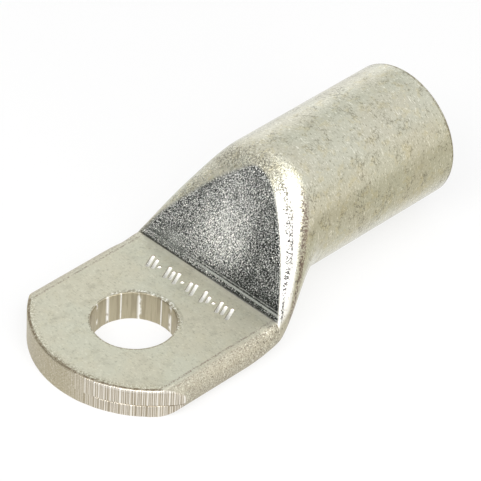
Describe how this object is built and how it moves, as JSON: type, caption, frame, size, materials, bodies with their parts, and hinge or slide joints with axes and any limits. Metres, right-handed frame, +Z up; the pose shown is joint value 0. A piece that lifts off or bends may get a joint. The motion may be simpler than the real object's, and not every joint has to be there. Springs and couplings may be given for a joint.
{
  "type": "cable lug",
  "caption": "Tin-plated copper tube lug: open round barrel for a crimped conductor, sloping neck, and a flat pressed palm with a stud hole.",
  "frame": {"origin": "centre of the stud hole on the underside of the palm", "axes": "+X along the barrel towards its open mouth, +Z up through the stud hole, from the palm's underside to its top"},
  "size_m": [0.059, 0.0264, 0.0187],
  "materials": {
    "tin_plate": "matt tin plate over copper, fine-grained"
  },
  "bodies": {
    "root": {"cable_lug": "tin_plate"}
  },
  "joints": []
}
